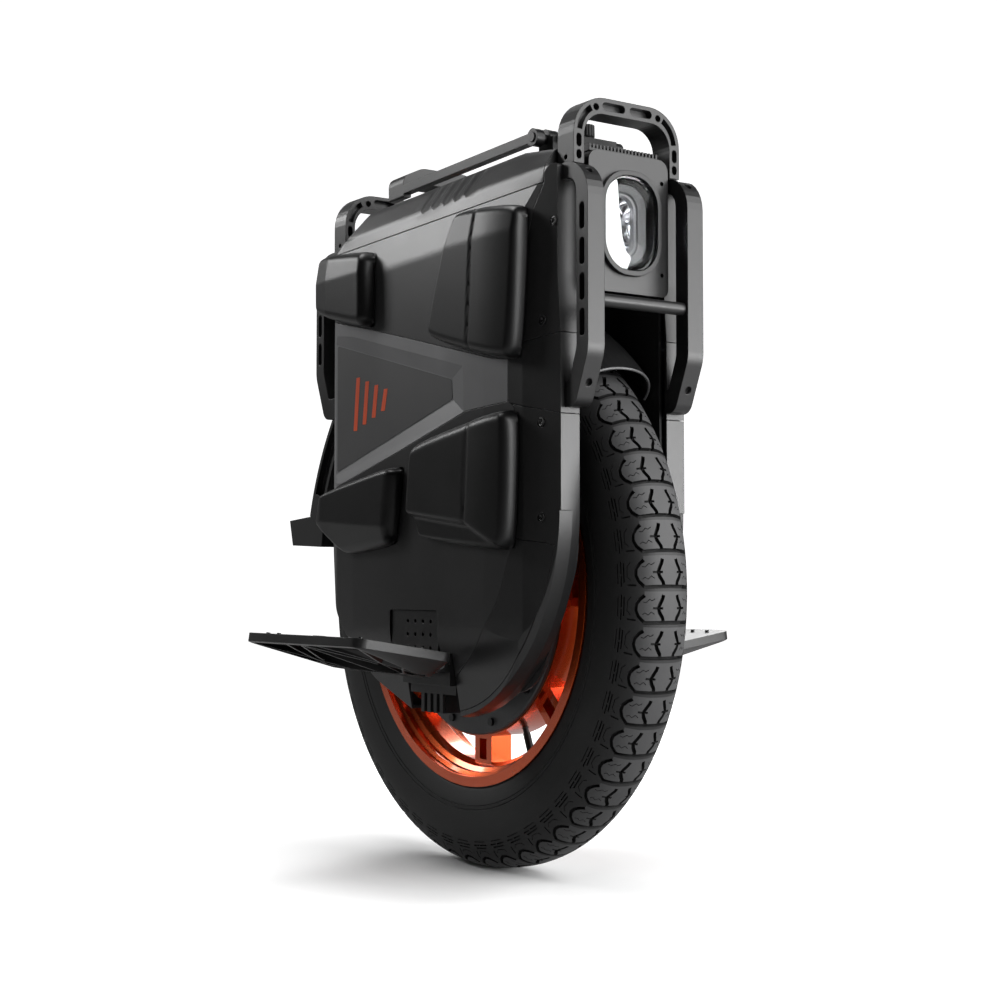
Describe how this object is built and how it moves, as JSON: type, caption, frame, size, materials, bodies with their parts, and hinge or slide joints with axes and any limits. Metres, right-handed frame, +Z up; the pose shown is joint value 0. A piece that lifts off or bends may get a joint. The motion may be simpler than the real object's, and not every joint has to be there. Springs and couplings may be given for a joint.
{
  "type": "electric unicycle",
  "caption": "Electric unicycle: one driven wheel in a suspended body with folding pedals, leg pads, hoop handles, bumpers, a headlight and a folding trolley handle.",
  "frame": {"origin": "middle of the tyre's contact patch on the ground, below the axle", "axes": "+X forward, towards the headlight; +Y to the rider's left, along the axle; +Z up"},
  "size_m": [0.6818, 0.4784, 0.776],
  "materials": {
    "tyre_rubber": "matt rubber",
    "rim_orange": "candy lacquer",
    "motor_grey": "satin",
    "steel": "brushed",
    "cast_core": "as cast",
    "bronze": "machined",
    "black_plastic": "matt",
    "shell_plastic": "satin",
    "trim_plastic": "satin",
    "frame_alloy": "anodised",
    "bar_alloy": "satin black",
    "pack_wrap": "wrapped",
    "board_green": "lacquered board",
    "pad_rubber": "matt foam rubber",
    "gloss_black": "gloss",
    "lens_clear": "clear",
    "mirror_bright": "mirror",
    "tail_red": "red lens",
    "button_orange": "matt"
  },
  "bodies": {
    "chassis": {"guide_rods": "steel", "shock_bodies": "frame_alloy", "frame_plate_right": "frame_alloy", "frame_plate_left": "frame_alloy", "battery_packs": "pack_wrap", "control_board": "board_green", "side_cover_right": "shell_plastic", "side_cover_left": "shell_plastic", "trim_panel_right": "trim_plastic", "trim_panel_left": "trim_plastic", "front_frame_right": "shell_plastic", "front_frame_left": "shell_plastic", "top_cover": "shell_plastic", "front_panel": "shell_plastic", "rear_panel": "shell_plastic", "vent_strip": "black_plastic", "headlight_bezel": "gloss_black", "headlight_reflector": "mirror_bright", "headlight_lens": "lens_clear", "tail_light": "tail_red", "front_hoop": "bar_alloy", "rear_hoop": "bar_alloy", "front_bumper_right": "bar_alloy", "front_bumper_left": "bar_alloy", "rear_bumper_right": "bar_alloy", "rear_bumper_left": "bar_alloy", "front_crossbar": "bar_alloy", "pad_front_upper_right": "pad_rubber", "pad_front_upper_left": "pad_rubber", "pad_rear_upper_right": "pad_rubber", "pad_rear_upper_left": "pad_rubber", "pad_front_lower_right": "pad_rubber", "pad_front_lower_left": "pad_rubber", "pad_rear_lower_right": "pad_rubber", "pad_rear_lower_left": "pad_rubber", "pedal_brackets": "bar_alloy", "pedal_pins": "steel", "trolley_base": "bar_alloy", "display_panel": "gloss_black", "shell_screws": "steel"},
    "carrier": {"axle": "steel", "motor_stator": "cast_core", "axle_blocks": "frame_alloy", "guide_bushes": "bronze", "shock_rods": "steel", "inner_fender": "black_plastic", "mudguard": "black_plastic"},
    "wheel": {"tyre": "tyre_rubber", "wheel_rim": "rim_orange", "motor_covers": "motor_grey", "motor_rotor": "cast_core", "cover_bolts": "steel", "hub_bearings": "steel", "tyre_valve": "black_plastic"},
    "pedal_right": {"pedal_right": "bar_alloy"},
    "pedal_left": {"pedal_left": "bar_alloy"},
    "trolley": {"trolley_handle": "bar_alloy"},
    "knob": {"lock_knob": "black_plastic"},
    "button": {"power_button": "button_orange"},
    "cap": {"charge_cap": "black_plastic"}
  },
  "joints": [
    {"name": "suspension_travel", "type": "slide", "parent": "chassis", "child": "carrier", "axis": [0, 0, 1], "range_m": [0, 0.08], "stiffness_N_per_m": 9000, "springref_m": -0.06},
    {"name": "wheel_spin", "type": "hinge", "parent": "carrier", "child": "wheel", "pos_m": [0, 0, 0.2945], "axis": [0, 1, 0], "continuous": true},
    {"name": "pedal_right_fold", "type": "hinge", "parent": "chassis", "child": "pedal_right", "pos_m": [0, -0.097, 0.219], "axis": [-1, 0, 0], "range_deg": [0, 68]},
    {"name": "pedal_left_fold", "type": "hinge", "parent": "chassis", "child": "pedal_left", "pos_m": [0, 0.097, 0.219], "axis": [1, 0, 0], "range_deg": [0, 68]},
    {"name": "trolley_fold", "type": "hinge", "parent": "chassis", "child": "trolley", "pos_m": [0.14916, 0, 0.75126], "axis": [0, 1, 0], "range_deg": [0, 110]},
    {"name": "lock_knob_turn", "type": "hinge", "parent": "chassis", "child": "knob", "pos_m": [0.16604, 0, 0.75576], "axis": [-0.0297, 0, 0.9996], "range_deg": [-180, 180]},
    {"name": "power_button_press", "type": "slide", "parent": "chassis", "child": "button", "axis": [0.0297, 0, -0.9996], "range_m": [0, 0.0015], "stiffness_N_per_m": 400, "springref_m": -0.0005},
    {"name": "charge_cap_open", "type": "hinge", "parent": "chassis", "child": "cap", "pos_m": [-0.217, -0.028, 0.666], "axis": [0, 1, 0], "range_deg": [0, 120]}
  ]
}
